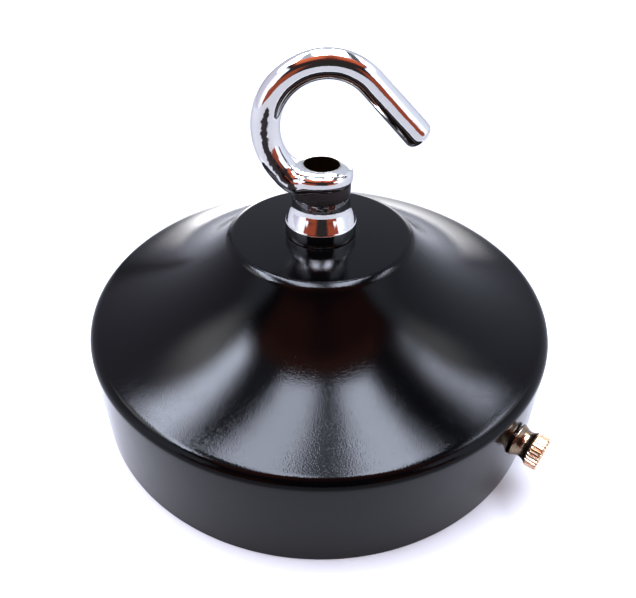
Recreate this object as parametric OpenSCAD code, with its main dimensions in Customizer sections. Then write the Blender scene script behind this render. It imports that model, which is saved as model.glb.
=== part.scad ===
// Ceiling rose with a cable hook: pressed cup, cast hook on a hollow nipple,
// strap bracket with folded ears and two knurled side screws.
// Millimetres. The rim stands on z = 0, +Z is the axis of the cup, +X runs along the strap.

/* [Cup] */
// Outer diameter at the open rim
rim_d = 108; // [100:1:116]
// Height from the rim to the top of the flat disc
cup_h = 40.4; // [36:0.2:44]
// Diameter of the flat part of the top disc
disc_flat_d = 38; // [34:0.5:42]
// Sheet thickness
sheet_t = 0.8; // [0.6:0.1:1.2]
// Slope of the skirt just under the disc, degrees below horizontal
skirt_top_slope = 48; // [42:1:52]
// Slope of the skirt where it meets the shoulder, degrees below horizontal
skirt_low_slope = 7; // [4:1:12]
// Lean of the wall from vertical, degrees
wall_draft = 2.3; // [0.5:0.1:4]
// Height of the side screw axis above the rim
screw_z = 13.4; // [12:0.1:15]

/* [Hook] */
// Turn of the hook about the cup axis, degrees from the strap
hook_turn = 41; // [0:1:90]
// Diameter of the hook's round base
base_d = 15.6; // [15:0.1:17]
// Diameter of the cable hole in the foot
cable_hole_d = 7.5; // [6.5:0.1:8]
// Radius of the back of the hook, at the middle of the bar
back_r = 12.3; // [11.5:0.1:13]
// Radius of the front bend, at the middle of the bar
bend_r = 11.2; // [10.5:0.1:12]
// Thickness of the bar at the back
back_bar_d = 5.9; // [5:0.1:6.4]
// Thickness of the bar at the bend
bend_bar_d = 5.4; // [4.8:0.1:6]
// Thickness of the bar near the tip
tip_bar_d = 5.7; // [4.8:0.1:6]
// Length of the straight run to the tip
tip_run = 15.1; // [12:0.1:16]

/* [Nipple and lock] */
// Outer diameter of the hollow nipple, M10 with a 1 mm pitch
nipple_d = 9.9; // [9.8:0.05:9.95]
// Bore of the hollow nipple
nipple_bore_d = 8; // [7.6:0.1:8.4]
// Length of the nipple
nipple_len = 20; // [20:0.5:22]
// Width of the lock nut across its flats
nut_af = 14; // [13:0.5:17]
// Height of the lock nut
nut_h = 3.5; // [3:0.1:3.6]

/* [Strap bracket] */
// Width of the strap
strap_w = 14; // [12:1:16]
// Thickness of the strap
strap_t = 1.5; // [1.2:0.1:2]
// Distance over the outside of the two ears
ear_span = 103; // [100:0.5:103.5]
// Distance between the middles of the two ceiling slots
slot_pitch = 60; // [54:1:62]
// End to end length of a ceiling slot
slot_len = 14; // [10:1:16]
// Width of a ceiling slot
slot_w = 5; // [4:0.5:6]

/* [Side screws] */
// Diameter of the knurled head
head_d = 7.3; // [7:0.1:8]
// Length of the knurled head
head_len = 2.8; // [2.5:0.1:4]
// Length of the waisted neck, flange included
neck_len = 3; // [2.8:0.1:4]
// Diameter of the flange against the wall
flange_d = 7; // [6.6:0.1:7.4]
// Diameter of the neck at its narrowest
waist_d = 5.6; // [5:0.1:6]
// Ridges round the head
ridges = 28; // [20:1:36]

/* [Hidden] */
$fn = 96;

// Clearances
gap = 0.05;
hole_play = 0.25;
cut = 1;

// Cup outline: disc edge, skirt arc, shoulder, wall
disc_edge_r = 2.9;
shoulder_r = 2.4;
rim_r = rim_d / 2;
disc_c = [disc_flat_d / 2, cup_h - disc_edge_r];
skirt_top = disc_c + disc_edge_r * [sin(skirt_top_slope), cos(skirt_top_slope)];
skirt_reach = rim_r - skirt_top[0] - shoulder_r * (cos(wall_draft) - sin(skirt_low_slope))
            - tan(wall_draft) * (skirt_top[1] - shoulder_r * (cos(skirt_low_slope) - sin(wall_draft)));
skirt_r = skirt_reach / (sin(skirt_top_slope) - sin(skirt_low_slope)
                         - tan(wall_draft) * (cos(skirt_low_slope) - cos(skirt_top_slope)));
skirt_c = skirt_top + skirt_r * [sin(skirt_top_slope), cos(skirt_top_slope)];
skirt_low = skirt_c - skirt_r * [sin(skirt_low_slope), cos(skirt_low_slope)];
shoulder_c = skirt_low - shoulder_r * [sin(skirt_low_slope), cos(skirt_low_slope)];
wall_top = shoulder_c + shoulder_r * [cos(wall_draft), sin(wall_draft)];

// Stack of washers and nut under the disc
under_disc = cup_h - sheet_t;
plain_t = 1.2;
tooth_t = 0.9;
plain_top = under_disc - gap;
tooth_top = plain_top - plain_t - gap;
nut_top = tooth_top - tooth_t - gap;
washer_hole_d = nipple_d + 2 * hole_play;

// Hook
base_z = cup_h + gap;
band_h = 2.9;
neck_d = 12.2;
foot_d = 13.2;
foot_low_z = 51.8;
foot_top_z = 56.3;
thread_depth = 7.8;
hook_c = [1.1, 63.4];
bend_c = [hook_c[0], hook_c[1] + back_r - bend_r];
tip_slope = 45;
tip_start = bend_c + bend_r * [sin(tip_slope), cos(tip_slope)];
tip_round = 1.5;
back_end_a = 236;

// Nipple, screwed into the hook from below
nipple_top = base_z + thread_depth - 0.8;
nipple_low = nipple_top - nipple_len;

// Side screws, M4
thread_d = 3.9;
tap_d = 4;
shank_len = 9;
face_x = wall_x(screw_z - flange_d / 2) + gap;

// Earth terminal on the upstand of the strap
earth_x = -14;
earth_z = 8;
upstand_w = 11;
upstand_h = 13;
cup_t = 1;
cup_w = 8;
earth_head_d = 7;
earth_head_h = 2.4;
earth_shank = 6;

// Points of an arc from angle a0 to a1 about centre c
function arc(c, r, a0, a1, step = 3) =
    let (n = max(1, ceil(abs(a1 - a0) / step)))
    [for (i = [0:n]) c + r * [cos(a0 + (a1 - a0) * i / n), sin(a0 + (a1 - a0) * i / n)]];

function reverse(list) = [for (i = [len(list) - 1:-1:0]) list[i]];

// Radius of the outside of the wall at height z
function wall_x(z) = wall_top[0] + (wall_top[1] - z) * tan(wall_draft);

// Outline of the cup moved inwards by t, from the rim up to the axis
function cup_outline(t) = concat(
    [[wall_x(0) - t / cos(wall_draft), 0]],
    arc(shoulder_c, shoulder_r - t, wall_draft, 90 - skirt_low_slope),
    arc(skirt_c, skirt_r + t, 270 - skirt_low_slope, 270 - skirt_top_slope, 2),
    arc(disc_c, disc_edge_r - t, 90 - skirt_top_slope, 90)
);

// Star outline with n ridges between the radii r0 and r1
function ridged(n, r0, r1) =
    [for (i = [0:n - 1], k = [0:3])
        (k == 0 || k == 3 ? r0 : r1) * [cos(360 * (i + k * 0.25) / n), sin(360 * (i + k * 0.25) / n)]];

// Cylinder along X, Y or Z that starts at p
module rod_x(p, d, len) {
    translate(p) rotate([0, 90, 0]) cylinder(d = d, h = len);
}
module rod_y(p, d, len) {
    translate(p) rotate([-90, 0, 0]) cylinder(d = d, h = len);
}
module rod_z(p, d, len) {
    translate(p) cylinder(d = d, h = len);
}

// Copies the right side to the left
module both_sides() {
    children();
    mirror([1, 0, 0]) children();
}

module canopy() {
    color("#17171a")
    difference() {
        rotate_extrude($fn = 180)
            polygon(concat([[0, under_disc], [0, cup_h]], reverse(cup_outline(0)), cup_outline(sheet_t)));
        rod_z([0, 0, under_disc - cut], washer_hole_d, sheet_t + 2 * cut);
        both_sides() rod_x([rim_r - 6, 0, screw_z], tap_d + 2 * hole_play, 8);
    }
}

module strap_bracket() {
    color("silver")
    difference() {
        union() {
            translate([-ear_span / 2 + 3, -strap_w / 2, 0]) cube([ear_span - 6, strap_w, strap_t]);
            both_sides() strap_end();
            upstand();
        }
        both_sides() ceiling_slot();
        rod_z([0, 0, -cut], 12, strap_t + 2 * cut);
        both_sides() rod_x([ear_span / 2 - 6, 0, screw_z], tap_d, 8);
        rod_y([earth_x, strap_w / 2 - 4, earth_z], tap_d, 6);
    }
}

// Bend and ear at the right end of the strap, with the raised collar of the tapped hole
module strap_end() {
    bend = 3;
    translate([ear_span / 2 - bend, strap_w / 2, bend])
        rotate([90, 0, 0])
            intersection() {
                difference() {
                    cylinder(r = bend, h = strap_w);
                    translate([0, 0, -cut]) cylinder(r = bend - strap_t, h = strap_w + 2 * cut);
                }
                translate([0, -bend, 0]) cube([bend, bend, strap_w]);
            }
    translate([ear_span / 2 - strap_t, -strap_w / 2, bend]) cube([strap_t, strap_w, screw_z - bend]);
    rod_x([ear_span / 2 - strap_t, 0, screw_z], strap_w, strap_t);
    rod_x([ear_span / 2 - strap_t - 1.2, 0, screw_z], tap_d + 2.4, 1.2);
}

module ceiling_slot() {
    run = slot_len - slot_w;
    for (dx = [-run / 2, run / 2]) rod_z([slot_pitch / 2 + dx, 0, -cut], slot_w, strap_t + 2 * cut);
    translate([slot_pitch / 2 - run / 2, -slot_w / 2, -cut]) cube([run, slot_w, strap_t + 2 * cut]);
}

// Tab turned up from the edge of the strap for the earth screw
module upstand() {
    translate([earth_x - upstand_w / 2, strap_w / 2 - strap_t, 0])
        cube([upstand_w, strap_t, upstand_h - 3]);
    translate([earth_x - upstand_w / 2 + 3, strap_w / 2 - strap_t, 0])
        cube([upstand_w - 6, strap_t, upstand_h]);
    for (dx = [-1, 1])
        rod_y([earth_x + dx * (upstand_w / 2 - 3), strap_w / 2 - strap_t, upstand_h - 3], 6, strap_t);
}

module hook() {
    color("gainsboro")
    rotate([0, 0, hook_turn])
        difference() {
            union() {
                hook_foot();
                hook_bar();
                hook_root();
            }
            rod_z([0, 0, base_z - cut], 10, thread_depth + cut);
            rod_z([0, 0, base_z], cable_hole_d, foot_top_z - base_z + 3);
        }
}

// Round base, domed bell, neck that widens upwards and the eye round the cable hole
module hook_foot() {
    base_r = base_d / 2;
    neck_r = neck_d / 2;
    foot_r = foot_d / 2;
    bell_z = base_z + band_h;
    bell_r = base_r - 0.2;
    bell_h = 4.1;
    round_top = 1.8;
    round_low = 0.8;
    rotate_extrude()
        polygon(concat(
            [[0, base_z], [base_r - 0.3, base_z], [base_r, base_z + 0.3], [base_r, bell_z - 0.2]],
            [for (i = [0:9]) [bell_r - (bell_r - neck_r) * pow(i / 9, 1.6), bell_z + bell_h * i / 9]],
            arc([foot_r - round_low, foot_low_z + round_low], round_low, -30, 0, 15),
            arc([foot_r - round_top, foot_top_z - round_top], round_top, 0, 90, 15),
            [[0, foot_top_z]]
        ));
}

// Back arc, front bend and straight run to the tip, in the hook's own plane
module hook_bar() {
    bar_arc(hook_c, back_r, 90, back_end_a, back_bar_d);
    bar_arc(bend_c, bend_r, 90 - tip_slope, 90, bend_bar_d);
    translate([tip_start[0], 0, tip_start[1]])
        rotate([0, 90 + tip_slope, 0])
            rotate_extrude()
                polygon(concat(
                    [[0, -1], [bend_bar_d / 2 - gap, -1]],
                    arc([tip_bar_d / 2 - tip_round, tip_run - tip_round], tip_round, 0, 90, 15),
                    [[0, tip_run]]
                ));
}

module bar_arc(c, r, a0, a1, d) {
    translate([c[0], 0, c[1]])
        rotate([90, 0, 0])
            rotate([0, 0, a0])
                rotate_extrude(angle = a1 - a0)
                    translate([r, 0]) circle(d = d, $fn = 48);
}

// The bar widens as it runs down into the eye
module hook_root() {
    angles = [200, 218, 236, 252];
    widths = [1, 1.2, 1.55, 1.95];
    for (i = [0:2])
        hull() {
            root_section(angles[i], widths[i]);
            root_section(angles[i + 1], widths[i + 1]);
        }
}

module root_section(a, wide) {
    p = hook_c + back_r * [cos(a), sin(a)];
    translate([p[0], 0, p[1]]) scale([1, wide, 1]) sphere(d = back_bar_d, $fn = 24);
}

module hollow_nipple() {
    chamfer = 0.5;
    r = nipple_d / 2;
    bore_r = nipple_bore_d / 2;
    color("goldenrod")
    rotate_extrude()
        polygon([[bore_r, nipple_low], [r - chamfer, nipple_low], [r, nipple_low + chamfer],
                 [r, nipple_top - chamfer], [r - chamfer, nipple_top], [bore_r, nipple_top]]);
}

// Plastic bush that keeps the cable off the nipple's edge
module nipple_bush() {
    lip_t = 1.2;
    lip_round = 0.9;
    depth = 5;
    outer_r = nipple_bore_d / 2 - gap;
    inner_r = outer_r - 0.4;
    lip_r = nipple_d / 2 - 0.2;
    low = nipple_low - gap - lip_t;
    color("whitesmoke")
    rotate_extrude()
        polygon(concat(
            [[outer_r, low + lip_t], [outer_r, low + lip_t + depth], [inner_r, low + lip_t + depth]],
            arc([inner_r + lip_round, low + lip_round], lip_round, 180, 270, 15),
            [[lip_r, low], [lip_r, low + lip_t]]
        ));
}

module plain_washer() {
    color("lightgray")
    difference() {
        rod_z([0, 0, plain_top - plain_t], 19, plain_t);
        rod_z([0, 0, plain_top - plain_t - cut], washer_hole_d, plain_t + 2 * cut);
    }
}

// External tooth lock washer
module tooth_washer() {
    color("darkgray")
    difference() {
        translate([0, 0, tooth_top - tooth_t]) linear_extrude(tooth_t) polygon(ridged(14, 7.4, 8.8));
        rod_z([0, 0, tooth_top - tooth_t - cut], washer_hole_d, tooth_t + 2 * cut);
    }
}

module lock_nut() {
    corner_r = nut_af / 2 / cos(30);
    chamfer = 0.5;
    color("goldenrod")
    difference() {
        translate([0, 0, nut_top - nut_h])
            intersection() {
                cylinder(r = corner_r, h = nut_h, $fn = 6);
                rotate_extrude()
                    polygon([[0, 0], [corner_r - 2 * chamfer, 0], [corner_r, chamfer],
                             [corner_r, nut_h - chamfer], [corner_r - 2 * chamfer, nut_h], [0, nut_h]]);
            }
        rod_z([0, 0, nut_top - nut_h - cut], 10, nut_h + 2 * cut);
    }
}

// One turned screw, axis along +X, head outwards
module side_screw() {
    flange_t = 0.9;
    waist_len = neck_len - flange_t;
    head_x = face_x + neck_len;
    head_r = head_d / 2;
    waist_r = waist_d / 2;
    tip_chamfer = 0.5;
    translate([0, 0, screw_z]) rotate([0, 90, 0]) {
        rotate_extrude()
            polygon(concat(
                [[0, face_x - shank_len], [thread_d / 2 - tip_chamfer, face_x - shank_len],
                 [thread_d / 2, face_x - shank_len + tip_chamfer], [thread_d / 2, face_x],
                 [flange_d / 2, face_x], [flange_d / 2, face_x + flange_t]],
                [for (i = [1:7])
                    [waist_r + (flange_d / 2 - waist_r) * pow(abs(1 - i / 4), 2), face_x + flange_t + waist_len * i / 8]],
                [[head_r - 0.3, head_x], [0, head_x]]
            ));
        translate([0, 0, head_x]) linear_extrude(head_len) polygon(ridged(ridges, head_r - 0.28, head_r));
    }
}

module side_screw_right() {
    color("#b08d57") side_screw();
}

module side_screw_left() {
    color("#b08d57") rotate([0, 0, 180]) side_screw();
}

module earth_screw() {
    under_head = strap_w / 2 + gap + cup_t + gap;
    color("gold")
    difference() {
        union() {
            rod_y([earth_x, under_head - earth_shank, earth_z], thread_d, earth_shank);
            rod_y([earth_x, under_head, earth_z], earth_head_d, earth_head_h);
        }
        translate([earth_x - earth_head_d, under_head + earth_head_h - 1.1, earth_z - 0.5])
            cube([2 * earth_head_d, 2, 1]);
    }
}

// Square washer with two lips that keep the wire under the head
module earth_cup_washer() {
    low_y = strap_w / 2 + gap;
    lip_t = 0.4;
    color("gold")
    difference() {
        union() {
            translate([earth_x - cup_w / 2, low_y, earth_z - cup_w / 2]) cube([cup_w, cup_t, cup_w]);
            for (side = [0, 1])
                translate([earth_x - cup_w / 2 + side * (cup_w - lip_t), low_y, earth_z - cup_w / 2])
                    cube([lip_t, cup_t + 1.2, cup_w]);
        }
        rod_y([earth_x, low_y - cut, earth_z], thread_d + 2 * hole_play, cup_t + 2 * cut);
    }
}

canopy();
strap_bracket();
hook();
hollow_nipple();
nipple_bush();
plain_washer();
tooth_washer();
lock_nut();
side_screw_right();
side_screw_left();
earth_screw();
earth_cup_washer();
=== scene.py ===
"""Ceiling rose with a cable hook: fine meshes, materials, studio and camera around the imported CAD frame."""

import math

import bmesh
import bpy
import numpy as np
from mathutils import Matrix, Vector


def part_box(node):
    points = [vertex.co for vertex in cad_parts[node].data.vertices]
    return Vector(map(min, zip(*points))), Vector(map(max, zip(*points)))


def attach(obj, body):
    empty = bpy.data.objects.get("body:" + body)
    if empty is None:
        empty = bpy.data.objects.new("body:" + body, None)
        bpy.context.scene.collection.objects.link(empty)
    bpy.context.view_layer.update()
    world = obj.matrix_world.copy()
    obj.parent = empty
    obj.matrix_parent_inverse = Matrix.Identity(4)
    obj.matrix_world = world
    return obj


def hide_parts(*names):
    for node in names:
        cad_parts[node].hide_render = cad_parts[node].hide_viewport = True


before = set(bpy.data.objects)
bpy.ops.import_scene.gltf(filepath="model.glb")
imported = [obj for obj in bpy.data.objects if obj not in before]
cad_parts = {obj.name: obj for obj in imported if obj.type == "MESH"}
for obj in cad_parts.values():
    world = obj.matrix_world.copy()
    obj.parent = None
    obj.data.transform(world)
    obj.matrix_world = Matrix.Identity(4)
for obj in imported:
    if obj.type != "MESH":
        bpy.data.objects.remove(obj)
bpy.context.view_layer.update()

MM = 0.001


# ---------------------------------------------------------------- sizes, from the frame

def box_mm(node):
    """Lowest and highest corner of a CAD node, in millimetres."""
    low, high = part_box(node)
    return low / MM, high / MM


canopy_high = box_mm("canopy")[1]
hook_low = box_mm("hook")[0]
nipple_low, nipple_high = box_mm("hollow_nipple")
bush_low, bush_high = box_mm("nipple_bush")
plain_low, plain_high = box_mm("plain_washer")
tooth_low, tooth_high = box_mm("tooth_washer")
nut_low, nut_high = box_mm("lock_nut")
screw_low, screw_high = box_mm("side_screw_right")
earth_low, earth_high = box_mm("earth_screw")
cup_low, cup_high = box_mm("earth_cup_washer")

CUP_TOP = canopy_high.z
SCREW_Z = (screw_low.z + screw_high.z) / 2
NIPPLE_HOLE_R = 5.2
M10_R, M10_PITCH = 5.0, 1.0
M4_R, M4_PITCH = 1.95, 0.7

# the hook stands at this angle to the strap; its round back has this centre and radius in its own plane
HOOK_TURN = math.radians(41)
HOOK_BACK_C = (1.1, 63.4)
HOOK_BACK_R = 12.3
HOOK_EYE_STEPS = 16
CABLE_R = 3.75


# ---------------------------------------------------------------- mesh helpers

def sin_deg(degrees):
    return math.sin(math.radians(degrees))


def cos_deg(degrees):
    return math.cos(math.radians(degrees))


def clamp(value):
    """The value kept between 0 and 1."""
    return max(0.0, min(1.0, value))


def shade_mesh(bm, sharp_angle):
    """Marks edges sharper than the angle, in degrees, and shades the rest smooth."""
    limit = math.radians(sharp_angle)
    for edge in bm.edges:
        edge.smooth = len(edge.link_faces) == 2 and edge.calc_face_angle(0) < limit
    for face in bm.faces:
        face.smooth = True


def mesh_in_metres(name, verts, faces):
    """A mesh from points in millimetres."""
    mesh = bpy.data.meshes.new(name)
    mesh.from_pydata([tuple(Vector(v) * MM) for v in verts], [], faces)
    return mesh


def new_piece(name, verts, faces, body, replaces, slot, material, sharp_angle=35):
    """Makes one smooth-shaded mesh piece, rides it on its body and gives it a material."""
    mesh = mesh_in_metres(name, verts, faces)
    mesh.validate()
    return finish_piece(name, mesh, body, replaces, material, sharp_angle)


def finish_piece(name, mesh, body, replaces, material, sharp_angle=35):
    """Cleans and shades a mesh in metres and makes it a piece of its body."""
    bm = bmesh.new()
    bm.from_mesh(mesh)
    bmesh.ops.remove_doubles(bm, verts=bm.verts, dist=1e-7)
    bmesh.ops.recalc_face_normals(bm, faces=bm.faces)
    shade_mesh(bm, sharp_angle)
    bm.to_mesh(mesh)
    bm.free()
    piece = bpy.data.objects.new(name, mesh)
    bpy.context.scene.collection.objects.link(piece)
    mesh.materials.append(material)
    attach(piece, body)
    if replaces:
        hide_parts(replaces)
    return piece


def revolve(outline, steps, closed=True):
    """Verts and faces of an outline of (radius, height) points turned about Z.
    Points on the axis make one vertex each."""
    verts, rings = [], []
    for radius, height in outline:
        if radius < 1e-9:
            rings.append([len(verts)])
            verts.append((0, 0, height))
        else:
            rings.append(list(range(len(verts), len(verts) + steps)))
            for i in range(steps):
                a = 2 * math.pi * i / steps
                verts.append((radius * math.cos(a), radius * math.sin(a), height))
    faces = []
    last = len(rings) if closed else len(rings) - 1
    for k in range(last):
        a, b = rings[k], rings[(k + 1) % len(rings)]
        for i in range(steps):
            j = (i + 1) % steps
            quad = [a[i % len(a)], a[j % len(a)], b[j % len(b)], b[i % len(b)]]
            quad = list(dict.fromkeys(quad))
            if len(quad) > 2:
                faces.append(quad)
    return verts, faces


def arc(centre, radius, a0, a1, count):
    """Points of a plane arc, angles in degrees."""
    angles = [a0 + (a1 - a0) * i / count for i in range(count + 1)]
    return [(centre[0] + radius * cos_deg(a), centre[1] + radius * sin_deg(a)) for a in angles]


def placed(verts, matrix):
    return [matrix @ Vector(v) for v in verts]


def turned(rows, steps):
    """Verts and faces of closed rows turned about Z.
    Each row is a function of the angle that gives (radius, height)."""
    verts, faces = [], []
    for row in rows:
        for i in range(steps):
            a = 2 * math.pi * i / steps
            radius, height = row(a)
            verts.append((radius * math.cos(a), radius * math.sin(a), height))
    count = len(rows)
    for k in range(count):
        n = (k + 1) % count
        for i in range(steps):
            j = (i + 1) % steps
            faces.append([k * steps + i, k * steps + j, n * steps + j, n * steps + i])
    return verts, faces


def plain_row(radius, height):
    return lambda a: (radius, height)


def thread_row(radius, depth, pitch, height, fade=1.0):
    """One row of a right-hand V thread, cut inwards from radius by depth times fade."""
    def row(a):
        phase = (height / pitch - a / (2 * math.pi)) % 1
        groove = 1 - abs(2 * phase - 1)
        return radius - depth * fade * clamp(1.25 * groove - 0.12), height
    return row


def thread_rows(radius, depth, pitch, low, high, per_pitch=9):
    """Rows of a thread from low to high, which fades out over half a pitch at both ends."""
    count = max(2, round((high - low) / pitch * per_pitch))
    rows = []
    for k in range(count + 1):
        height = low + (high - low) * k / count
        edge = min(height - low, high - height) / (0.5 * pitch)
        rows.append(thread_row(radius, depth, pitch, height, min(1.0, edge)))
    return rows


def cut_with(piece, cutter_verts, cutter_faces):
    """Cuts a closed shape out of a piece's mesh, exactly, and applies the cut."""
    mesh = mesh_in_metres("cutter", cutter_verts, cutter_faces)
    cutter = bpy.data.objects.new("cutter", mesh)
    bpy.context.scene.collection.objects.link(cutter)
    bm = bmesh.new()
    bm.from_mesh(mesh)
    bmesh.ops.recalc_face_normals(bm, faces=bm.faces)
    bm.to_mesh(mesh)
    bm.free()
    change = piece.modifiers.new("cut", "BOOLEAN")
    change.operation = "DIFFERENCE"
    change.solver = "EXACT"
    change.object = cutter
    apply_modifiers(piece)
    bpy.data.objects.remove(cutter)


def apply_modifiers(piece):
    bpy.context.view_layer.update()
    graph = bpy.context.evaluated_depsgraph_get()
    shaped = bpy.data.meshes.new_from_object(piece.evaluated_get(graph))
    piece.modifiers.clear()
    piece.data = shaped


def mark_sharp(piece, sharp_angle=35):
    """Shades a finished piece again after its mesh has changed."""
    bm = bmesh.new()
    bm.from_mesh(piece.data)
    shade_mesh(bm, sharp_angle)
    bm.to_mesh(piece.data)
    bm.free()


def soften_edges(piece, width, segments=2, angle=30):
    """Rounds the sharp edges of a hard-edged piece."""
    change = piece.modifiers.new("round", "BEVEL")
    change.width = width * MM
    change.segments = segments
    change.limit_method = "ANGLE"
    change.angle_limit = math.radians(angle)
    change.use_clamp_overlap = True
    apply_modifiers(piece)
    mark_sharp(piece)


def drum(radius, low, high, matrix=Matrix(), steps=48):
    """A plain closed cylinder for cutting holes, along Z before the matrix."""
    verts, faces = revolve([(0, low), (radius, low), (radius, high), (0, high)], steps, closed=False)
    return placed(verts, matrix), faces


def store_value(mesh, name, function):
    """Keeps a number from 0 to 1 on every vertex, which the materials read as wear, dirt, tint or a painted
    dark reflection.
    """
    layer = mesh.attributes.new(name, "FLOAT", "POINT")
    layer.data.foreach_set("value", [float(function(v.co)) for v in mesh.vertices])


# ---------------------------------------------------------------- node helpers for the materials

def math_node(tree, operation, first, second):
    """Output of a maths node. Each input is a number or a socket."""
    node = tree.nodes.new("ShaderNodeMath")
    node.operation = operation
    for index, value in enumerate((first, second)):
        if isinstance(value, (int, float)):
            node.inputs[index].default_value = value
        else:
            tree.links.new(value, node.inputs[index])
    return node.outputs["Value"]


class Nodes:
    """Short names for building one material's node tree."""

    def __init__(self, name):
        self.material = bpy.data.materials.new(name)
        self.material.use_nodes = True
        self.tree = self.material.node_tree
        self.shader = self.tree.nodes["Principled BSDF"]
        self.place = self.add("ShaderNodeTexCoord").outputs["Object"]

    def add(self, kind, **values):
        node = self.tree.nodes.new(kind)
        for key, value in values.items():
            if hasattr(node, key):
                setattr(node, key, value)
            else:
                node.inputs[key.replace("_", " ")].default_value = value
        return node

    def join(self, source, node, socket):
        self.tree.links.new(source, node.inputs[socket])
        return node

    def noise(self, scale, detail=2.0, roughness=0.5, stretch=None):
        """Noise on the object's own coordinates.
        Stretch squeezes it along an axis, as brushing or turning does."""
        place = self.place
        if stretch:
            mapping = self.add("ShaderNodeMapping")
            mapping.inputs["Scale"].default_value = stretch
            self.join(place, mapping, "Vector")
            place = mapping.outputs["Vector"]
        node = self.add("ShaderNodeTexNoise", Scale=scale, Detail=detail, Roughness=roughness)
        self.join(place, node, "Vector")
        return node.outputs["Fac"]

    def cells(self, scale, feature="F1"):
        node = self.add("ShaderNodeTexVoronoi", feature=feature, Scale=scale)
        self.join(self.place, node, "Vector")
        return node.outputs["Distance"]

    def span(self, source, from_low, from_high, to_low, to_high):
        node = self.add("ShaderNodeMapRange")
        self.join(source, node, "Value")
        limits = {"From Min": from_low, "From Max": from_high, "To Min": to_low, "To Max": to_high}
        for key, value in limits.items():
            node.inputs[key].default_value = value
        return node.outputs["Result"]

    def math(self, operation, first, second):
        return math_node(self.tree, operation, first, second)

    def value(self, attribute):
        return self.add("ShaderNodeAttribute", attribute_name=attribute).outputs["Fac"]

    def blend(self, factor, first, second):
        """Mixes two colours. Each is a colour or a socket."""
        node = self.add("ShaderNodeMix", data_type="RGBA")
        self.tree.links.new(factor, node.inputs[0])
        for index, colour in ((6, first), (7, second)):
            if isinstance(colour, tuple):
                node.inputs[index].default_value = (*colour, 1)
            else:
                self.tree.links.new(colour, node.inputs[index])
        return node.outputs[2]

    def bump(self, height, strength, distance, under=None):
        node = self.add("ShaderNodeBump", Strength=strength, Distance=distance)
        self.join(height, node, "Height")
        if under is not None:
            self.join(under, node, "Normal")
        return node.outputs["Normal"]

    def shade(self, **sockets):
        """Sets the shader's sockets: numbers are set on it, sockets are linked to it."""
        for key, value in sockets.items():
            socket = self.shader.inputs[key.replace("_", " ")]
            if isinstance(value, bpy.types.NodeSocket):
                self.tree.links.new(value, socket)
            elif isinstance(value, tuple):
                socket.default_value = (*value, 1)
            else:
                socket.default_value = value
        return self.material


# ---------------------------------------------------------------- materials

def black_enamel():
    """Baked satin-gloss black: orange peel, faint smears, dust, and thin paint along the edges."""
    n = Nodes("black_enamel")
    smear = n.noise(55, detail=4, roughness=0.6)
    wave = n.noise(420, detail=1)
    peel = n.noise(4300, detail=0)
    worn = n.math("MULTIPLY", n.value("wear"), n.span(n.noise(900, detail=5), 0.42, 0.62, 0, 1))
    specks = n.span(n.cells(420), 0.02, 0.05, 1, 0)
    dust = n.math("MULTIPLY", specks, n.span(n.noise(75, detail=1), 0.60, 0.64, 0, 1))
    paint = n.blend(smear, (0.0004, 0.0004, 0.0007), (0.0010, 0.0010, 0.0014))
    thin = n.blend(worn, paint, (0.055, 0.054, 0.056))
    colour = n.blend(dust, thin, (0.16, 0.155, 0.15))
    rough = n.span(smear, 0.3, 0.7, 0.07, 0.10)
    rough = n.math("ADD", rough, n.math("MULTIPLY", worn, 0.12))
    normal = n.bump(wave, 0.1, 0.00005)
    normal = n.bump(peel, 0.4, 0.00003, under=normal)
    return n.shade(Base_Color=colour, Roughness=rough, IOR=1.3, Normal=normal)


def hook_chrome():
    """Bright plating over a hand-finished cast hook: slight waves, fine pits, a painted dark reflection, made
    rough and bumped, on the upper neck and in a ragged band along the back, dull brown inside the cable hole."""
    n = Nodes("hook_chrome")
    wave = n.noise(170, detail=1)
    pits = n.span(n.cells(2600), 0.0, 0.22, 0, 1)
    few = n.span(n.noise(240, detail=2), 0.56, 0.66, 0, 1)
    pitted = n.math("MULTIPLY", n.math("SUBTRACT", 1, pits), few)
    dull = n.value("dull")
    haze = n.noise(420, detail=5, roughness=0.65)
    fine = n.noise(1500, detail=2)
    # painted dark reflection: the upper neck and a ragged band along the back, made rough and bumped as well
    dark_reflection_at = n.value("painted_dark_reflection")
    ragged = n.math("ADD", dark_reflection_at, n.math("MULTIPLY", n.noise(1300, detail=3), 0.9))
    dark_reflection = n.span(ragged, 0.98, 1.12, 0, 1)
    plate = n.blend(haze, (0.66, 0.655, 0.64), (0.73, 0.72, 0.70))
    # the painted dark reflection goes over the plating here
    plate = n.blend(dark_reflection, plate, (0.06, 0.05, 0.048))
    stained = n.blend(dull, plate, (0.10, 0.065, 0.035))
    colour = n.blend(pitted, stained, (0.30, 0.30, 0.31))
    rough = n.span(haze, 0.35, 0.75, 0.035, 0.085)
    rough = n.math("ADD", rough, n.math("MULTIPLY", dull, 0.35))
    rough = n.math("ADD", rough, n.math("MULTIPLY", dark_reflection, 0.15))
    normal = n.bump(wave, 0.25, 0.00035)
    normal = n.bump(dark_reflection, 0.3, 0.00006, under=normal)
    normal = n.bump(fine, 0.3, 0.00003, under=normal)
    normal = n.bump(pits, 0.05, 0.00002, under=normal)
    return n.shade(Base_Color=colour, Metallic=1.0, Roughness=rough, Specular_Tint=(0.62, 0.62, 0.65),
                   Normal=normal)


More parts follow.
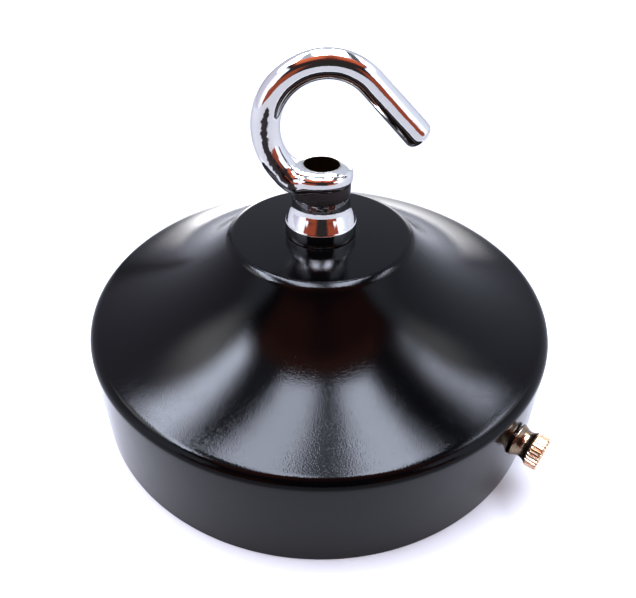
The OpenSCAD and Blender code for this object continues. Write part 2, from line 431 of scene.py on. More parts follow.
def screw_brass():
    """Turned brass: pale bright knurl, tarnished brown neck, rings left by the lathe."""
    n = Nodes("screw_brass")
    rings = n.noise(900, detail=3, stretch=(9, 0.4, 0.4))
    patch = n.noise(700, detail=4)
    bright = n.blend(patch, (0.93, 0.78, 0.60), (0.84, 0.62, 0.44))
    tarnish = n.blend(patch, (0.11, 0.085, 0.060), (0.24, 0.18, 0.12))
    grime = n.value("grime")
    tarnished = n.math("MULTIPLY", n.value("tarnish"), n.span(rings, 0.3, 0.7, 0.75, 1))
    colour = n.blend(tarnished, bright, tarnish)
    colour = n.blend(grime, colour, (0.10, 0.055, 0.025))
    rough = n.math("ADD", n.span(patch, 0.3, 0.7, 0.16, 0.28), n.math("MULTIPLY", grime, 0.2))
    normal = n.bump(rings, 0.25, 0.00002)
    return n.shade(Base_Color=colour, Metallic=1.0, Roughness=rough, Normal=normal)


def plain_brass():
    """Yellow brass off the machine, with light tarnish in patches."""
    n = Nodes("plain_brass")
    rings = n.noise(800, detail=3, stretch=(0.5, 0.5, 8))
    patch = n.noise(350, detail=5, roughness=0.6)
    colour = n.blend(n.span(patch, 0.35, 0.7, 0, 1), (0.83, 0.64, 0.30), (0.55, 0.38, 0.17))
    rough = n.span(patch, 0.3, 0.7, 0.20, 0.38)
    return n.shade(Base_Color=colour, Metallic=1.0, Roughness=rough, Normal=n.bump(rings, 0.2, 0.00002))


def zinc_plate():
    """Bright zinc plate on rolled steel strip: faint rolling lines, cloudy patches, small scuffs."""
    n = Nodes("zinc_plate")
    lines = n.noise(700, detail=3, stretch=(0.15, 9, 9))
    cloud = n.noise(120, detail=5, roughness=0.65)
    scuff = n.span(n.noise(500, detail=6, stretch=(0.4, 2, 2)), 0.62, 0.72, 0, 1)
    colour = n.blend(cloud, (0.50, 0.52, 0.55), (0.74, 0.74, 0.73))
    colour = n.blend(scuff, colour, (0.38, 0.38, 0.38))
    rough = n.math("ADD", n.span(cloud, 0.3, 0.7, 0.22, 0.38), n.math("MULTIPLY", scuff, 0.15))
    normal = n.bump(lines, 0.12, 0.00003)
    return n.shade(Base_Color=colour, Metallic=1.0, Roughness=rough, Normal=normal)


def bush_plastic():
    """Natural nylon, slightly milky."""
    n = Nodes("bush_plastic")
    cloud = n.noise(300, detail=3)
    skin = n.noise(3500, detail=2)
    colour = n.blend(cloud, (0.78, 0.77, 0.72), (0.86, 0.85, 0.81))
    rough = n.span(skin, 0.3, 0.7, 0.38, 0.5)
    return n.shade(Base_Color=colour, Roughness=rough, Subsurface_Weight=0.25, Subsurface_Scale=0.002,
                   Normal=n.bump(skin, 0.1, 0.00002))


def floor_paper():
    """Plain studio paper that the light turns white, paler right round the object so that its contact
    shadow stays faint."""
    n = Nodes("floor_paper")
    tooth = n.noise(900, detail=3)
    reach = n.add("ShaderNodeVectorMath", operation="LENGTH")
    n.join(n.place, reach, 0)
    far = n.span(reach.outputs["Value"], 0.055, 0.095, 0, 1)
    paper = n.blend(tooth, (0.225, 0.225, 0.225), (0.245, 0.245, 0.245))
    colour = n.blend(far, (0.45, 0.45, 0.45), paper)
    return n.shade(Base_Color=colour, Roughness=0.6, Normal=n.bump(tooth, 0.05, 0.0001))


# ---------------------------------------------------------------- canopy

def cup_outline(inset):
    """Outline of the cup moved inwards, from the rim up to the disc, in (radius, height).
    It has the same arcs as the CAD part."""
    disc_edge, shoulder = 2.9, 2.4
    top_slope, low_slope, draft = 48, 7, 2.3
    sin, cos = sin_deg, cos_deg
    tan_draft = sin(draft) / cos(draft)
    rim = 54.0
    disc_c = np.array([19.0, CUP_TOP - disc_edge])
    skirt_top = disc_c + disc_edge * np.array([sin(top_slope), cos(top_slope)])
    reach = (rim - skirt_top[0] - shoulder * (cos(draft) - sin(low_slope))
             - tan_draft * (skirt_top[1] - shoulder * (cos(low_slope) - sin(draft))))
    skirt = reach / (sin(top_slope) - sin(low_slope) - tan_draft * (cos(low_slope) - cos(top_slope)))
    skirt_c = skirt_top + skirt * np.array([sin(top_slope), cos(top_slope)])
    skirt_low = skirt_c - skirt * np.array([sin(low_slope), cos(low_slope)])
    shoulder_c = skirt_low - shoulder * np.array([sin(low_slope), cos(low_slope)])
    wall_top = shoulder_c + shoulder * np.array([cos(draft), sin(draft)])
    wall = lambda height: (wall_top[0] + (wall_top[1] - height) * tan_draft - inset / cos(draft), height)
    return ([wall(h) for h in (0.35, 0.7, 1.4, 4, 8, 12, 16, 19, 20.6)]
            + arc(shoulder_c, shoulder - inset, draft, 90 - low_slope, 18)
            + arc(skirt_c, skirt + inset, 270 - low_slope, 270 - top_slope, 52)[1:]
            + arc(disc_c, disc_edge - inset, 90 - top_slope, 90, 14)[1:])


def make_canopy(material):
    """The pressed cup: one sheet, rounded at its cut rim, with the nipple hole and two screw holes."""
    sheet = 0.8
    hole_r = NIPPLE_HOLE_R
    screw_hole_r = 2.25
    outer = cup_outline(0)
    inner = cup_outline(sheet)
    rim_out, rim_in = outer[0][0], inner[0][0]
    rim_mid = (rim_out + rim_in) / 2
    rim = [(rim_in + 0.02, 0.12), (rim_in + 0.15, 0.0), (rim_mid, 0.0), (rim_out - 0.1, 0.0),
           (rim_out + 0.01, 0.12)]
    flat_rings = (9, 14, 18.7)
    top = ([(r, CUP_TOP) for r in reversed(flat_rings)]
           + [(hole_r + 0.3, CUP_TOP), (hole_r + 0.06, CUP_TOP - 0.06), (hole_r, CUP_TOP - 0.25),
              (hole_r, CUP_TOP - sheet + 0.1), (hole_r + 0.1, CUP_TOP - sheet)])
    under = [(r, CUP_TOP - sheet) for r in flat_rings]
    outline = rim + outer + top + under + inner[::-1]
    piece = new_piece("canopy_cup", *revolve(outline, 288), "canopy", "canopy", "black_enamel", material)
    for side in (1, -1):
        along = Matrix.Translation((side * 50, 0, SCREW_Z)) @ Matrix.Rotation(side * math.pi / 2, 4, "Y")
        cut_with(piece, *drum(screw_hole_r, 0, 8, along))
    mark_sharp(piece)

    def wear(place):
        radius = math.hypot(place.x, place.y) / MM
        height = place.z / MM
        at_rim = clamp(1 - height / 0.6)
        at_hole = clamp(1 - abs(radius - hole_r) / 0.5)
        from_screw = math.hypot(place.y / MM, height - SCREW_Z) - 2.2
        on_wall = radius > 50
        near_screw = clamp(1 - from_screw / 2.0) if on_wall else 0
        return max(at_rim, at_hole, near_screw)

    store_value(piece.data, "wear", wear)


# ---------------------------------------------------------------- hook

def hook_path():
    """Middle line of the hook in its own plane, from the end of the eye round to the tip.
    Each row is (place sideways from the cup's axis, height, half thickness, half width)."""
    rows = []
    eye_r, eye_low, eye_top = 6.6, 51.43, 56.27
    back_c, back_r = HOOK_BACK_C, HOOK_BACK_R
    bend_r, slope = 11.2, 45
    leave_a = 222
    sin, cos = sin_deg, cos_deg
    # the eye
    middle, half = (eye_low + eye_top) / 2, (eye_top - eye_low) / 2
    for i in range(HOOK_EYE_STEPS + 1):
        a = 90 * (1 - i / HOOK_EYE_STEPS)
        thick, wide = half * min(1.0, cos(a) ** 0.55 + 0.001), max(eye_r * cos(a), 0.02)
        rows.append((eye_r * sin(a), middle, thick, wide))
    for i in range(1, 9):
        low = eye_low - 1.2 * (i / 8) ** 1.5
        rows.append((-4.2 * i / 8, (low + eye_top) / 2, (eye_top - low) / 2, eye_r - 1.0 * (i / 8) ** 2))
    # the root, where the bar leaves the eye
    start, end = rows[-1], (back_c[0] + back_r * cos(leave_a), back_c[1] + back_r * sin(leave_a))
    pull_a = (start[0] - 1.7, start[1])
    pull_b = (end[0] - 1.7 * sin(leave_a), end[1] + 1.7 * cos(leave_a))
    for i in range(1, 15):
        t = i / 14
        weights = ((1 - t) ** 3, 3 * t * (1 - t) ** 2, 3 * t * t * (1 - t), t ** 3)
        at = [sum(w * q[k] for w, q in zip(weights, (start, pull_a, pull_b, end))) for k in (0, 1)]
        rows.append((at[0], at[1], start[2] + (2.93 - start[2]) * t, 5.6 - 1.75 * t))
    # the back and the bend
    for i in range(1, 41):
        a = leave_a + (90 - leave_a) * i / 40
        narrow = min(1.0, i / 14)
        rows.append((back_c[0] + back_r * cos(a), back_c[1] + back_r * sin(a),
                     2.93 - 0.17 * max(0, i - 14) / 26, 3.85 - 0.91 * sin(narrow * 90)))
    bend_c = (back_c[0], back_c[1] + back_r - bend_r)
    for i in range(1, 15):
        a = 90 - slope * i / 14
        rows.append((bend_c[0] + bend_r * cos(a), bend_c[1] + bend_r * sin(a), 2.76 - 0.04 * i / 14,
                     2.94 - 0.1 * i / 14))
    # the straight run, a little thicker towards its blunt tip
    start = rows[-1]
    run, round_r = 15.1, 1.45
    for i in range(1, 15):
        along = (run - round_r) * i / 14
        rows.append((start[0] + along * cos(slope), start[1] - along * sin(slope), 2.72 + 0.12 * i / 14,
                     2.84 + 0.06 * i / 14))
    end = rows[-1]
    for i in range(1, 10):
        a = 10 * i
        along, less = round_r * sin(a), round_r * (1 - cos(a))
        rows.append((end[0] + along * cos(slope), end[1] - along * sin(slope), end[2] - less, end[3] - less))
    return rows


def hook_bar(steps=48):
    """The bar and eye as one skin lofted along the hook's middle line."""
    rows = hook_path()
    verts, faces = [], []
    middle = np.array([(r[0], r[1]) for r in rows])
    heading = np.gradient(middle, axis=0)
    heading[:HOOK_EYE_STEPS + 1] = (-1, 0)
    heading /= np.linalg.norm(heading, axis=1)[:, None]
    for (s, z, thick, wide), (ds, dz) in zip(rows, heading):
        for k in range(steps):
            a = 2 * math.pi * k / steps
            flat = 2.0 / (2.0 + 0.9 * clamp(wide / thick - 1.15))
            u = math.copysign(abs(math.cos(a)) ** flat, math.cos(a)) * thick
            v = math.copysign(abs(math.sin(a)) ** flat, math.sin(a)) * wide
            verts.append((s - dz * u, v, z + ds * u))
    for r in range(len(rows) - 1):
        for k in range(steps):
            j = (k + 1) % steps
            faces.append([r * steps + k, r * steps + j, (r + 1) * steps + j, (r + 1) * steps + k])
    faces.append(list(range(steps))[::-1])
    faces.append([(len(rows) - 1) * steps + k for k in range(steps)])
    return verts, faces


def hook_base(steps=160):
    """Round base, coned bell and a neck that widens up into the eye, with the thread's bore inside."""
    low = hook_low.z
    base_r, bore_r, cable_r = 7.8, M10_R, CABLE_R
    bell_z, neck_top, eye_r = low + 2.9, 52.6, 6.27
    bore_top = low + 7.8
    # the lean of the bell's side from upright, by height over the band
    rise = np.linspace(0.14, 4.4, 30)
    lean = np.interp(rise, (0.1, 1.6, 2.6, 3.0, 3.5, 4.0, 4.4), (18.5, 24, 27, 22, 12, 4, 0))
    bell = [(base_r - 0.14, bell_z)]
    for k in range(1, len(rise)):
        inwards = (rise[k] - rise[k - 1]) * math.tan(math.radians((lean[k] + lean[k - 1]) / 2))
        bell.append((bell[-1][0] - inwards, bell_z + rise[k]))
    neck_r, neck_low = bell[-1]
    neck = [(neck_r + (eye_r - neck_r) * (i / 8) ** 1.4, neck_low + (neck_top - neck_low) * i / 8)
            for i in range(1, 9)]
    outline = ([(bore_r, low), (base_r - 0.25, low)]
               + arc((base_r - 0.25, low + 0.25), 0.25, -90, 0, 4)[1:]
               + [(base_r, bell_z - 1.4)]
               + arc((base_r - 0.2, bell_z - 0.06), 0.2, 0, 60, 5) + bell[1:] + neck
               + [(5.8, neck_top + 0.05), (cable_r, neck_top + 0.05), (cable_r, bore_top + 0.2),
                  (cable_r + 0.2, bore_top), (bore_r, bore_top)])
    return revolve(outline, steps)


def make_hook(material):
    """The cast hook. The cable hole runs down through the eye and the neck."""
    turn = Matrix.Rotation(HOOK_TURN, 4, "Z")
    bar_verts, bar_faces = hook_bar()
    bar_verts = placed(bar_verts, turn)
    piece = new_piece("hook_cast", bar_verts, bar_faces, "hook", "hook", "hook_chrome", material)
    cut_with(piece, *drum(CABLE_R, 48, 60, steps=96))
    mark_sharp(piece, 50)
    base = new_piece("hook_neck", *hook_base(), "hook", None, "hook_chrome", material)

    def dull(place):
        """1 inside the cable hole."""
        over_eye = 57
        radius = math.hypot(place.x, place.y) / MM
        return clamp((4.0 - radius) / 0.2) if place.z / MM < over_eye else 0.0

    def dark_reflection(place):
        """Painted dark reflection: 1 along the middle of the back's side that faces the camera, from its left
        down to the root.
        """
        reflection_from, reflection_to, fade_in, half_width = 150, 240, 12, 1.5
        flat = turn.inverted() @ place / MM
        across, up = flat.x - HOOK_BACK_C[0], flat.z - HOOK_BACK_C[1]
        angle = math.degrees(math.atan2(up, across)) % 360
        off = abs(math.hypot(across, up) - HOOK_BACK_R)
        other_side = flat.y > -1
        if other_side or not reflection_from < angle < reflection_to:
            return 0.0
        return clamp(1 - off / half_width) * clamp((angle - reflection_from) / fade_in)

    def neck_reflection(place):
        """Painted dark reflection: 1 in the upper part of the neck."""
        reflection_low, fade_in = 49.0, 1.2
        return clamp((place.z / MM - reflection_low) / fade_in)

    for part in (piece, base):
        store_value(part.data, "dull", dull)
    # where the hook's material paints its dark reflection: on the back and on the upper neck
    store_value(piece.data, "painted_dark_reflection", dark_reflection)
    store_value(base.data, "painted_dark_reflection", neck_reflection)


# ---------------------------------------------------------------- nipple, bush, washers, lock nut

def capped(rows, steps):
    """Turned rows closed with a flat cap at both ends."""
    verts, faces = turned(rows, steps)
    faces = faces[:-steps]
    last = (len(rows) - 1) * steps
    faces.append(list(range(steps))[::-1])
    faces.append([last + i for i in range(steps)])
    return verts, faces


def make_nipple(material):
    """Hollow nipple with a rolled M10 thread, 1 mm pitch, chamfered at both ends."""
    radius, bore = nipple_high.x, 4.0
    low, high = nipple_low.z, nipple_high.z
    depth, run_out, chamfer = 0.55, 0.35, 0.25
    rows = [plain_row(radius - depth, low),
            *thread_rows(radius, depth, M10_PITCH, low + run_out, high - run_out, 8),
            plain_row(radius - depth, high), plain_row(bore + chamfer, high), plain_row(bore, high - chamfer),
            plain_row(bore, (low + high) / 2), plain_row(bore, low + chamfer), plain_row(bore + chamfer, low)]
    verts, faces = turned(rows, 96)
    new_piece("nipple_threaded", verts, faces, "hook", "hollow_nipple", "plain_brass", material, 40)


def make_bush(material):
    """Plastic bush with a rolled lip, pushed into the lower end of the nipple."""
    low, high, lip_r = bush_low.z, bush_high.z, bush_high.x
    outer_r, inner_r, lip_t = 3.95, 3.55, 1.2
    outline = ([(outer_r, low + lip_t), (outer_r, high - 0.3), (outer_r - 0.12, high),
                (inner_r + 0.05, high), (inner_r, high - 0.1), (inner_r, low + 2)]
               + arc((inner_r + 0.9, low + 0.9), 0.9, 180, 270, 10)
               + arc((lip_r - 0.3, low + 0.3), 0.3, 270, 360, 6)
               + arc((lip_r - 0.15, low + lip_t - 0.15), 0.15, 0, 90, 4))
    verts, faces = revolve(outline, 96)
    new_piece("nipple_bush_lip", verts, faces, "hook", "nipple_bush", "bush_plastic", material)


def make_plain_washer(material):
    """Blanked washer: its outer edge rolled over above and nearly sharp below."""
    low, high, outer_r, hole_r = plain_low.z, plain_high.z, plain_high.x, NIPPLE_HOLE_R
    outline = ([(hole_r, low + 0.05), (hole_r, high - 0.15)]
               + arc((hole_r + 0.15, high - 0.15), 0.15, 180, 90, 4)[1:]
               + [(hole_r + 1, high), (outer_r - 1.2, high)]
               + arc((outer_r - 0.35, high - 0.35), 0.35, 90, 0, 6)
               + [(outer_r, low + 0.08), (outer_r - 0.08, low), (outer_r - 1, low), (hole_r + 1, low),
                  (hole_r + 0.05, low)])
    verts, faces = revolve(outline, 128)
    new_piece("plain_washer_disc", verts, faces, "washers", "plain_washer", "zinc_plate", material)


def make_tooth_washer(material):
    """Toothed lock washer: fourteen teeth, each twisted out of the flat ring."""
    low, high, outer_r, hole_r = tooth_low.z, tooth_high.z, tooth_high.x, NIPPLE_HOLE_R
    teeth, root_r, half, most_twist = 14, 7.4, 0.22, 0.23
    middle = (low + high) / 2
    steps = teeth * 16

    def tooth(a):
        turn = (a / (2 * math.pi) * teeth) % 1
        inside = clamp((0.30 - abs(turn - 0.5)) / 0.06 + 0.5)
        return turn, inside

    def row(part_out, side):
        def at(a):
            turn, inside = tooth(a)
            out = root_r + (outer_r - root_r) * inside
            radius = hole_r + (out - hole_r) * part_out
            beyond = max(0.0, (radius - root_r + 0.5) / (outer_r - root_r + 0.5))
            twist = (turn - 0.5) * 1.5 * beyond * inside
            return radius, middle + side * half + max(-most_twist, min(most_twist, twist))
        return at

    parts_out = (0.0, 0.35, 0.6, 0.75, 0.88, 1.0)
    rows = [row(part, 1) for part in parts_out] + [row(part, -1) for part in reversed(parts_out)]
    verts, faces = turned(rows, steps)
    new_piece("tooth_washer_ring", verts, faces, "washers", "tooth_washer", "zinc_plate", material, 50)


def make_lock_nut(material):
    """Hexagon lock nut, corners chamfered on both faces, thread countersunk."""
    low, high = nut_low.z, nut_high.z
    half_flats, bore, countersink = min(nut_high.x, nut_high.y), M10_R, 0.35
    corner_along_x = nut_high.x > nut_high.y

    def outside(height):
        edge = min(height - low, high - height)

        def at(a):
            off = (a if corner_along_x else a + math.pi / 6) % (math.pi / 3) - math.pi / 6
            return min(half_flats / math.cos(off), half_flats - 0.25 + edge * 1.75), height
        return at

    edge_steps = [0.05 * i for i in range(14)]
    heights = [low + d for d in edge_steps] + [(low + high) / 2] + [high - d for d in reversed(edge_steps)]
    rows = ([plain_row(bore + countersink, low)] + [outside(h) for h in heights]
            + [plain_row(bore + countersink, high), plain_row(bore, high - countersink),
               plain_row(bore, (low + high) / 2), plain_row(bore, low + countersink)])
    verts, faces = turned(rows, 192)
    new_piece("lock_nut_hex", verts, faces, "lock_nut", "lock_nut", "plain_brass", material, 25)


# ---------------------------------------------------------------- side screws

def make_side_screw(name, side, material):
    """Turned side screw: M4 thread, flange, waisted neck and a straight-knurled head with chamfered ridges.
    It is built along Z from its tip and then laid along X or -X."""
    flange_r, waist_r, head_r, ridges = 3.5, 2.8, 3.65, 28
    neck, head_len, shank = 3.0, 2.8, 9.0
    thread_depth, root_r = 0.38, 1.62
    end = screw_high.x
    head_x = end - head_len
    face_x = head_x - neck
    tip = face_x - shank

    def knurl(place):
        chamfer = head_r - 0.42 + 1.1 * min(place - head_x, end - place)

        def at(a):
            wave = 0.5 + 0.5 * math.cos(a * ridges)
            tooth = min(1.0, 1.35 * wave ** 0.75)
            return min(head_r - 0.36 * (1 - tooth), chamfer), place
        return at

    def waist(i):
        radius = waist_r + (flange_r - 0.08 - waist_r) * abs(1 - i / 11) ** 1.9
        return plain_row(radius, face_x + 0.42 + (neck - 0.46) * i / 20)

    point = [(0.9, tip), (1.45, tip + 0.02), (1.6, tip + 0.2)]
    undercut = [(root_r, face_x - 0.55), (root_r, face_x - 0.02), (1.7, face_x)]
    flange = [(flange_r - 0.4, face_x), (flange_r - 0.12, face_x), (flange_r - 0.03, face_x + 0.04),
              (flange_r, face_x + 0.14), (flange_r - 0.02, face_x + 0.3)]
    knurl_steps = (0.0, 0.06, 0.12, 0.2, 0.3, 0.42, 0.7, 1.2, 1.7, 2.1, 2.38, 2.5, 2.6, 2.68, 2.74, 2.8)
    end_rings = [(3.0, 0.0), (2.75, 0.015), (2.3, 0.03), (2.25, 0.05), (1.6, 0.06), (1.55, 0.045),
                 (0.8, 0.06), (0.4, 0.07), (0.15, 0.1)]
    rows = ([plain_row(*at) for at in point]
            + thread_rows(M4_R, thread_depth, M4_PITCH, tip + 0.3, face_x - 0.7, 8)
            + [plain_row(*at) for at in undercut + flange]
            + [waist(i) for i in range(21)]
            + [plain_row(head_r - 0.5, head_x - 0.02)]
            + [knurl(head_x + d) for d in knurl_steps]
            + [plain_row(r, end - d) for r, d in end_rings])
    verts, faces = capped(rows, ridges * 10)
    sideways = Matrix.Translation((0, 0, SCREW_Z)) @ Matrix.Rotation(math.pi / 2, 4, "Y")
    turn = Matrix.Rotation(0 if side > 0 else math.pi, 4, "Z") @ sideways
    verts = placed(verts, turn)
    piece = new_piece(name + "_turned", verts, faces, name, name, "screw_brass", material, 42)

    def tarnish(place):
        """1 everywhere but on the head."""
        return 1.0 if side * place.x / MM < head_x - 0.01 else 0.0

    def grime(place):
        """1 at the bottom of the knurl's grooves."""
        off_axis = math.hypot(place.y / MM, place.z / MM - SCREW_Z)
        on_knurl = head_x < side * place.x / MM < end - 0.2
        return clamp((head_r - 0.06 - off_axis) / 0.3) if on_knurl else 0.0

    store_value(piece.data, "tarnish", tarnish)
    store_value(piece.data, "grime", grime)


# ---------------------------------------------------------------- strap and earth terminal

def make_strap(node, material):
    """The CAD strap with its flat faces joined up again and its sheared edges eased."""
    flat_within = 0.5
    mesh = node.data.copy()
    mesh.materials.clear()
    piece = finish_piece("strap_sheet", mesh, "canopy", "strap_bracket", material)
    weld = piece.modifiers.new("weld", "WELD")
    weld.merge_threshold = 1e-6
    flat = piece.modifiers.new("flat", "DECIMATE")
    flat.decimate_type = "DISSOLVE"
    flat.angle_limit = math.radians(flat_within)
    apply_modifiers(piece)
    soften_edges(piece, 0.14, 2, 28)


def make_earth_screw(material):
    """Pan-head screw with a sawn slot, along +Y, thread in the upstand."""
    head_r = (earth_high.x - earth_low.x) / 2
    centre = ((earth_low.x + earth_high.x) / 2, (earth_low.z + earth_high.z) / 2)
    end, tip = earth_high.y, earth_low.y
    under, thread_depth = end - 2.4, 0.36
    slot_half, slot_depth = 0.5, 1.1

    def dome(degrees):
        return plain_row(head_r * cos_deg(degrees) ** 0.72, under + 0.9 + 1.5 * sin_deg(degrees))

    point = [(0.9, tip), (1.4, tip), (1.6, tip + 0.2)]
    head_side = [(1.9, under), (head_r - 0.15, under), (head_r, under + 0.15), (head_r, under + 0.9)]
    rows = ([plain_row(*at) for at in point]
            + thread_rows(M4_R, thread_depth, M4_PITCH, tip + 0.3, under - 0.25, 8)
            + [plain_row(*at) for at in head_side]
            + [dome(a) for a in (10, 20, 30, 40, 50, 60, 70, 78)]
            + [plain_row(0.5, end - 0.005)])
    verts, faces = capped(rows, 96)
    turn = Matrix.Translation((centre[0], 0, centre[1])) @ Matrix.Rotation(-math.pi / 2, 4, "X")
    verts = placed(verts, turn)
    piece = new_piece("earth_screw_pan", verts, faces, "earth_screw", "earth_screw", "plain_brass",
                      material, 40)
    slot_low = (centre[0] - 5, end - slot_depth, centre[1] - slot_half)
    slot_high = (centre[0] + 5, end + 1, centre[1] + slot_half)
    cut_with(piece, *block(slot_low, slot_high))
    mark_sharp(piece, 40)


def block(low, high):
    """Verts and faces of a box, for cutting."""
    verts = [(x, y, z) for x in (low[0], high[0]) for y in (low[1], high[1]) for z in (low[2], high[2])]
    return verts, [[0, 1, 3, 2], [4, 6, 7, 5], [0, 4, 5, 1], [2, 3, 7, 6], [0, 2, 6, 4], [1, 5, 7, 3]]


def make_cup_washer(material):
    """Square clamping washer with two lips folded out along its sides."""
    x0, x1 = cup_low.x, cup_high.x
    y0, y1 = cup_low.y, cup_high.y
    z0, z1 = cup_low.z, cup_high.z
    plate = y0 + 1.0
    lip, hole_r = 0.4, 2.2
    # one half of the section, as distances in from its own side
    half = [(0.3, y0), (0.09, y0 + 0.09), (0, y0 + 0.3), (0, y1 - 0.1), (0.1, y1), (lip - 0.08, y1),
            (lip, y1 - 0.1), (lip, plate + 0.3), (lip + 0.1, plate + 0.1), (lip + 0.3, plate)]
    outline = [(x0 + d, y) for d, y in half] + [(x1 - d, y) for d, y in reversed(half)]
    count = len(outline)
    verts = [(x, y, z0) for x, y in outline] + [(x, y, z1) for x, y in outline]
    faces = [[i, (i + 1) % count, count + (i + 1) % count, count + i] for i in range(count)]
    faces += [list(range(count))[::-1], list(range(count, 2 * count))]
    piece = new_piece("earth_washer_cup", verts, faces, "earth_washer", "earth_cup_washer", "plain_brass",
                      material)
    centre = Matrix.Translation(((x0 + x1) / 2, 0, (z0 + z1) / 2)) @ Matrix.Rotation(-math.pi / 2, 4, "X")
    cut_with(piece, *drum(hole_r, y0 - 1, y1 + 1, centre))
    soften_edges(piece, 0.08, 2, 40)


# ---------------------------------------------------------------- studio

PHOTO_TURN = math.radians(41.07)
CAMERA_OUT, CAMERA_UP = 103.18 * MM, 103.17 * MM
CAMERA_PITCH, CAMERA_YAW, CAMERA_ROLL = math.radians(38.63), math.radians(-0.22), math.radians(0.785)
CAMERA_LENS = 30.41


def add_camera():
    """Close wide-angle view from in front and above, the hook's plane square to it."""
    turn = Matrix.Rotation(PHOTO_TURN, 4, "Z")
    level_part = math.cos(CAMERA_PITCH)
    forward = Vector((math.sin(CAMERA_YAW) * level_part, math.cos(CAMERA_YAW) * level_part,
                      -math.sin(CAMERA_PITCH)))
    right = forward.cross(Vector((0, 0, 1))).normalized()
    up = right.cross(forward)
    level = math.cos(CAMERA_ROLL) * right + math.sin(CAMERA_ROLL) * up
    top = math.cos(CAMERA_ROLL) * up - math.sin(CAMERA_ROLL) * right
    pose = Matrix((level, top, -forward)).transposed().to_4x4()
    pose.translation = Vector((0, -CAMERA_OUT, CAMERA_UP))
    data = bpy.data.cameras.new("camera")
    data.lens = CAMERA_LENS
    data.sensor_width = 36
    data.clip_start = 0.005
    data.clip_end = 20
    camera = bpy.data.objects.new("camera", data)
    camera.matrix_world = turn @ pose
    bpy.context.scene.collection.objects.link(camera)
    bpy.context.scene.camera = camera


class Room:
    """Soft studio light as a world: feathered panels on the faces of a unit room around the object.
    Its own axes are the photograph's: +X right, +Y away from the camera, +Z up."""

    def __init__(self, base):
        self.world = bpy.data.worlds.new("studio")
        self.world.use_nodes = True
        self.tree = self.world.node_tree
        self.tree.nodes.clear()
        turn = self.add("ShaderNodeVectorRotate", rotation_type="Z_AXIS")
        turn.inputs["Angle"].default_value = -PHOTO_TURN
        self.tree.links.new(self.add("ShaderNodeTexCoord").outputs["Generated"], turn.inputs["Vector"])
        split = self.add("ShaderNodeSeparateXYZ")
        self.tree.links.new(turn.outputs["Vector"], split.inputs["Vector"])
        self.way = split.outputs
        start = self.add("ShaderNodeRGB")
        start.outputs[0].default_value = (*base, 1)
        self.light = start.outputs[0]

    def add(self, kind, **values):
        node = self.tree.nodes.new(kind)
        for key, value in values.items():
            setattr(node, key, value)
        return node

    def math(self, operation, first, second):
        return math_node(self.tree, operation, first, second)

    def step(self, value, low, high):
        """0 below low, 1 above high, smooth between."""
        node = self.add("ShaderNodeMapRange", interpolation_type="SMOOTHSTEP")
        self.tree.links.new(value, node.inputs["Value"])
        node.inputs["From Min"].default_value = low
        node.inputs["From Max"].default_value = high
        return node.outputs["Result"]

    def panel(self, face, first, second, light, feather=0.06, lean=0.0):
        """A panel on a face of the room. first and second are its ranges along the face's two axes,
        X before Y before Z, with the room's half size as 1. Lean moves it along the first axis per unit
        of the second. Later panels cover earlier ones."""
        axis = "XYZ".index(face[1])
        depth = self.way[axis] if face[0] == "+" else self.math("MULTIPLY", self.way[axis], -1)
        near = self.math("MAXIMUM", depth, 0.05)
        mask = self.step(depth, 0.05, 0.08)
        along, across = [self.math("DIVIDE", self.way[i], near) for i in range(3) if i != axis]
        if lean:
            along = self.math("SUBTRACT", along, self.math("MULTIPLY", across, lean))
        for at, (low, high) in ((along, first), (across, second)):
            inside = self.math("MULTIPLY", self.step(at, low - feather, low + feather),
                               self.math("SUBTRACT", 1, self.step(at, high - feather, high + feather)))
            mask = self.math("MULTIPLY", mask, inside)
        node = self.add("ShaderNodeMix", data_type="RGBA")
        node.inputs[7].default_value = (*light, 1)
        self.tree.links.new(self.light, node.inputs[6])
        self.tree.links.new(mask, node.inputs[0])
        self.light = node.outputs[2]

    def done(self):
        """Closes the world. Seen straight, past the floor's edge, it is plain white."""
        seen = self.add("ShaderNodeMix", data_type="RGBA")
        seen.inputs[7].default_value = (1.0, 1.0, 1.0, 1)
        self.tree.links.new(self.add("ShaderNodeLightPath").outputs["Is Camera Ray"], seen.inputs[0])
        self.tree.links.new(self.light, seen.inputs[6])
        back = self.add("ShaderNodeBackground")
        out = self.add("ShaderNodeOutputWorld")
        self.tree.links.new(seen.outputs[2], back.inputs["Color"])
        self.tree.links.new(back.outputs[0], out.inputs["Surface"])
        bpy.context.scene.world = self.world


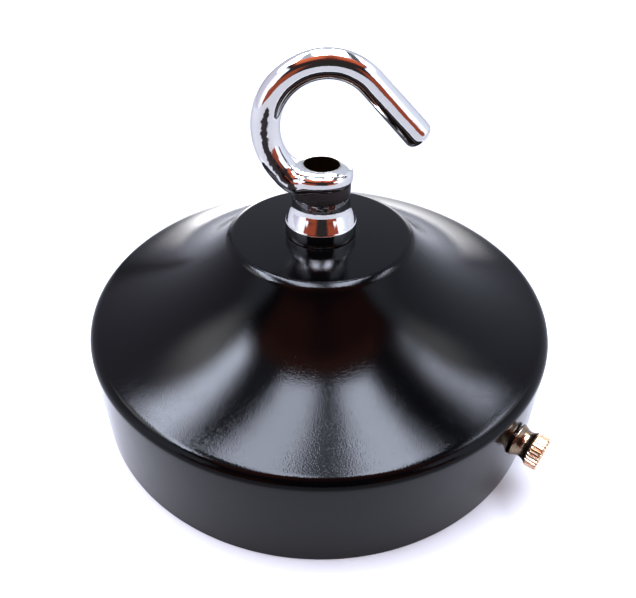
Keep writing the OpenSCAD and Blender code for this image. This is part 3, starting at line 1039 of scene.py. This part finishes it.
def add_light():
    """Four ceiling strips, a bright low backdrop, pale walls, and a warm dark shape round the camera."""
    room = Room((0.91, 0.90, 1.08))
    grey = lambda v: (v, v, v * 1.03)
    cool = lambda v: (v * 0.94, v, v * 1.17)
    black = (0.06, 0.052, 0.054)
    warm = (0.50, 0.13, 0.075)
    # walls and backdrop
    room.panel("+X", (-1.4, 1.4), (-0.1, 1.1), cool(1.15), 0.2)
    room.panel("-X", (-1.4, -0.15), (0.0, 1.0), cool(1.7), 0.2)
    room.panel("+X", (-1.4, -0.15), (0.0, 1.0), cool(1.7), 0.2)
    room.panel("+Y", (-0.64, 0.64), (0.36, 2.0), cool(0.95), 0.08)
    room.panel("+Y", (-0.50, 0.53), (-0.5, 0.30), grey(3.6), 0.10)
    room.panel("+Y", (-0.34, 0.34), (-0.5, 0.24), grey(5.4), 0.14)
    room.panel("+Y", (-0.36, -0.08), (-0.3, 0.26), grey(11.0), 0.07)
    room.panel("+Y", (-0.78, -0.68), (-0.03, 0.7), grey(0.32), 0.04, lean=0.2)
    room.panel("+Y", (0.63, 0.67), (0.05, 0.6), cool(0.7), 0.03, lean=-0.18)
    # dark shape round the camera, warm at both sides
    room.panel("-Y", (-1.0, 1.0), (-0.12, 1.3), black, 0.06)
    room.panel("-Y", (-1.05, -0.26), (-0.14, 0.46), warm, 0.10)
    room.panel("-Y", (0.42, 1.05), (-0.14, 0.46), warm, 0.10)
    room.panel("-X", (-1.0, -0.70), (-0.14, 0.34), warm, 0.07)
    room.panel("+X", (-1.0, -0.65), (-0.14, 0.34), warm, 0.07)
    # warm shape over the camera
    room.panel("+Z", (-0.98, 0.98), (-1.3, -0.24), black, 0.05)
    room.panel("+Z", (-0.80, 0.92), (-1.05, -0.50), (0.20, 0.055, 0.04), 0.18)
    room.panel("+Z", (-0.66, 0.92), (-0.72, -0.26), (0.50, 0.14, 0.09), 0.10)
    room.panel("+Z", (-0.70, -0.08), (-0.80, -0.26), (0.95, 0.28, 0.15), 0.10)
    room.panel("+Z", (0.17, 0.92), (-0.80, -0.24), (0.80, 0.21, 0.13), 0.10)
    room.panel("+Z", (-0.60, 0.60), (-0.36, -0.26), (1.50, 0.52, 0.27), 0.03)
    # ceiling: soft glow at both sides, then the strips
    room.panel("+Z", (-1.25, -0.6), (-0.12, 0.42), grey(5.8), 0.22)
    room.panel("+Z", (0.72, 1.25), (-0.05, 0.5), grey(4.0), 0.20)
    room.panel("+Z", (-0.28, 0.37), (-0.22, 0.75), cool(3.0), 0.05, lean=-0.1)
    room.panel("+Z", (-0.47, -0.31), (-0.24, 0.75), cool(0.7), 0.05, lean=0.12)
    room.panel("+Z", (0.42, 0.64), (-0.24, 0.75), cool(0.2), 0.05, lean=-0.3)
    room.panel("+Z", (-0.77, -0.54), (-0.18, 0.60), cool(27), 0.06, lean=0.3)
    room.panel("+Z", (-0.26, -0.02), (-0.20, 0.80), cool(22), 0.03, lean=-0.1)
    room.panel("+Z", (0.12, 0.35), (-0.18, 0.80), cool(24), 0.03, lean=-0.06)
    room.panel("+Z", (0.76, 0.96), (-0.10, 0.12), cool(7.5), 0.06, lean=-0.38)
    room.panel("+Z", (0.76, 0.96), (0.10, 0.60), cool(15), 0.06, lean=-0.38)
    room.done()


def add_floor(material):
    """Plain pale floor, one wide sheet a hair under the rim."""
    half, height = 3.0, -0.00002
    corners = [(x * half, y * half, height) for x, y in ((-1, -1), (1, -1), (1, 1), (-1, 1))]
    mesh = bpy.data.meshes.new("floor")
    mesh.from_pydata(corners, [], [(0, 1, 2, 3)])
    floor = bpy.data.objects.new("floor", mesh)
    bpy.context.scene.collection.objects.link(floor)
    mesh.materials.append(material)


# ---------------------------------------------------------------- build

enamel, chrome, zinc = black_enamel(), hook_chrome(), zinc_plate()
turned_brass, brass, nylon = screw_brass(), plain_brass(), bush_plastic()

make_canopy(enamel)
make_hook(chrome)
make_nipple(brass)
make_bush(nylon)
make_plain_washer(zinc)
make_tooth_washer(zinc)
make_lock_nut(brass)
make_side_screw("side_screw_right", 1, turned_brass)
make_side_screw("side_screw_left", -1, turned_brass)
make_strap(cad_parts["strap_bracket"], zinc)
make_earth_screw(brass)
make_cup_washer(brass)

add_floor(floor_paper())
add_light()
add_camera()
bpy.context.scene.view_settings.view_transform = "Standard"
bpy.context.scene.view_settings.gamma = 0.82
